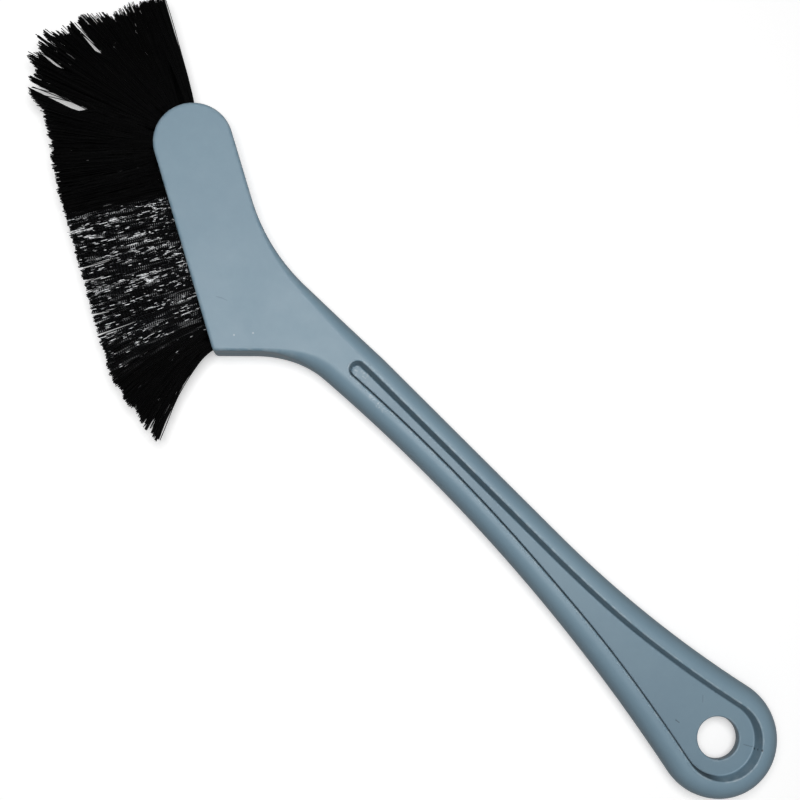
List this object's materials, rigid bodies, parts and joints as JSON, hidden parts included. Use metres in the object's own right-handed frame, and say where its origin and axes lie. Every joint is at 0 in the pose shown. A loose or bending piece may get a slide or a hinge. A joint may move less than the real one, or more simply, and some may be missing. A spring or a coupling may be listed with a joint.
{
  "type": "crevice brush",
  "caption": "Flat moulded brush with a sideways-leaning head, stiff dark bristles along its long edge and round its tip, a recessed grip and a hanging hole.",
  "frame": {"origin": "on the axis of the hanging hole, at the middle of the body's thickness", "axes": "+X from the hanging hole along the handle towards the head, +Y across the handle towards the bristle side, +Z through the thickness, up when the brush lies flat"},
  "size_m": [0.2473, 0.0769, 0.011],
  "materials": {
    "body_plastic": "satin moulded plastic, grey blue",
    "bristle": "stiff crimped filament, black",
    "anchor_wire": "plain flat wire"
  },
  "bodies": {
    "root": {"handle": "body_plastic", "tuft_upper_01": "bristle", "tuft_upper_02": "bristle", "tuft_upper_03": "bristle", "tuft_upper_04": "bristle", "tuft_upper_05": "bristle", "tuft_upper_06": "bristle", "tuft_upper_07": "bristle", "tuft_upper_08": "bristle", "tuft_upper_09": "bristle", "tuft_upper_10": "bristle", "tuft_upper_11": "bristle", "tuft_upper_12": "bristle", "tuft_upper_13": "bristle", "tuft_upper_14": "bristle", "tuft_upper_15": "bristle", "tuft_upper_16": "bristle", "tuft_lower_01": "bristle", "tuft_lower_02": "bristle", "tuft_lower_03": "bristle", "tuft_lower_04": "bristle", "tuft_lower_05": "bristle", "tuft_lower_06": "bristle", "tuft_lower_07": "bristle", "tuft_lower_08": "bristle", "tuft_lower_09": "bristle", "tuft_lower_10": "bristle", "tuft_lower_11": "bristle", "tuft_lower_12": "bristle", "tuft_lower_13": "bristle", "tuft_lower_14": "bristle", "tuft_lower_15": "bristle", "anchors_upper": "anchor_wire", "anchors_lower": "anchor_wire"}
  },
  "joints": []
}
